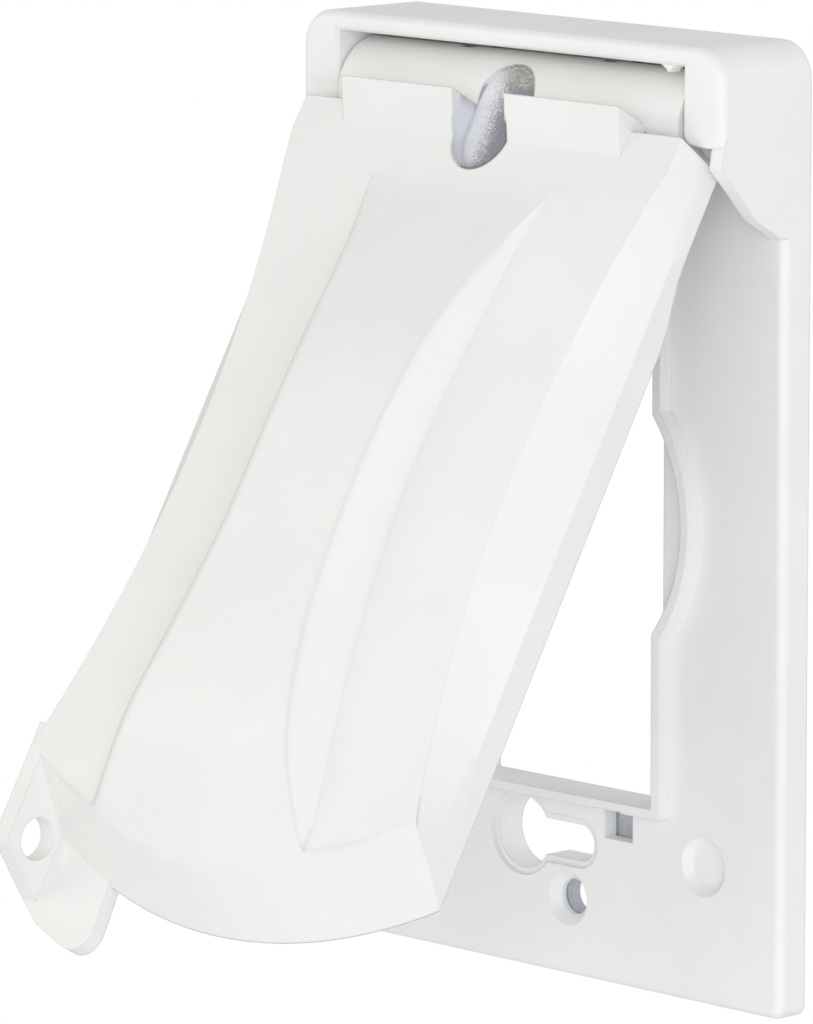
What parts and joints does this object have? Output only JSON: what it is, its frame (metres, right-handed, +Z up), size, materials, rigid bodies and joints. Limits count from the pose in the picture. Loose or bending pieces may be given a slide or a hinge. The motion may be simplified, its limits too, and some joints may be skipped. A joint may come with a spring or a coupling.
{
  "type": "weatherproof outlet cover",
  "caption": "Cast weatherproof wall cover for one outlet: a flat plate with a collared opening and a hood, and a sprung, waisted lid with a raised panel and a lock tab.",
  "frame": {"origin": "middle of the plate's bottom rim, on its back face", "axes": "+Z up, +X to the right of someone facing the cover, +Y into the wall"},
  "size_m": [0.0714, 0.0668, 0.1159],
  "materials": {
    "plate_coat": "white powder coat on a casting, satin",
    "lid_coat": "white powder coat on a casting, satin",
    "pin_steel": "drawn steel",
    "spring_steel": "bright spring wire",
    "seal_foam": "closed-cell foam"
  },
  "bodies": {
    "base": {"base_plate": "plate_coat", "hinge_pin": "pin_steel", "spring_left": "spring_steel", "spring_right": "spring_steel", "wall_gasket": "seal_foam"},
    "lid": {"lid": "lid_coat", "lid_gasket": "seal_foam"}
  },
  "joints": [
    {"name": "lid_hinge", "type": "hinge", "parent": "base", "child": "lid", "pos_m": [0, -0.0086, 0.10511], "axis": [-1, 0, 0], "range_deg": [-30, 36], "stiffness_Nm_per_rad": 0.08, "springref_deg": 18.33, "deforming": ["spring_left", "spring_right"]}
  ]
}
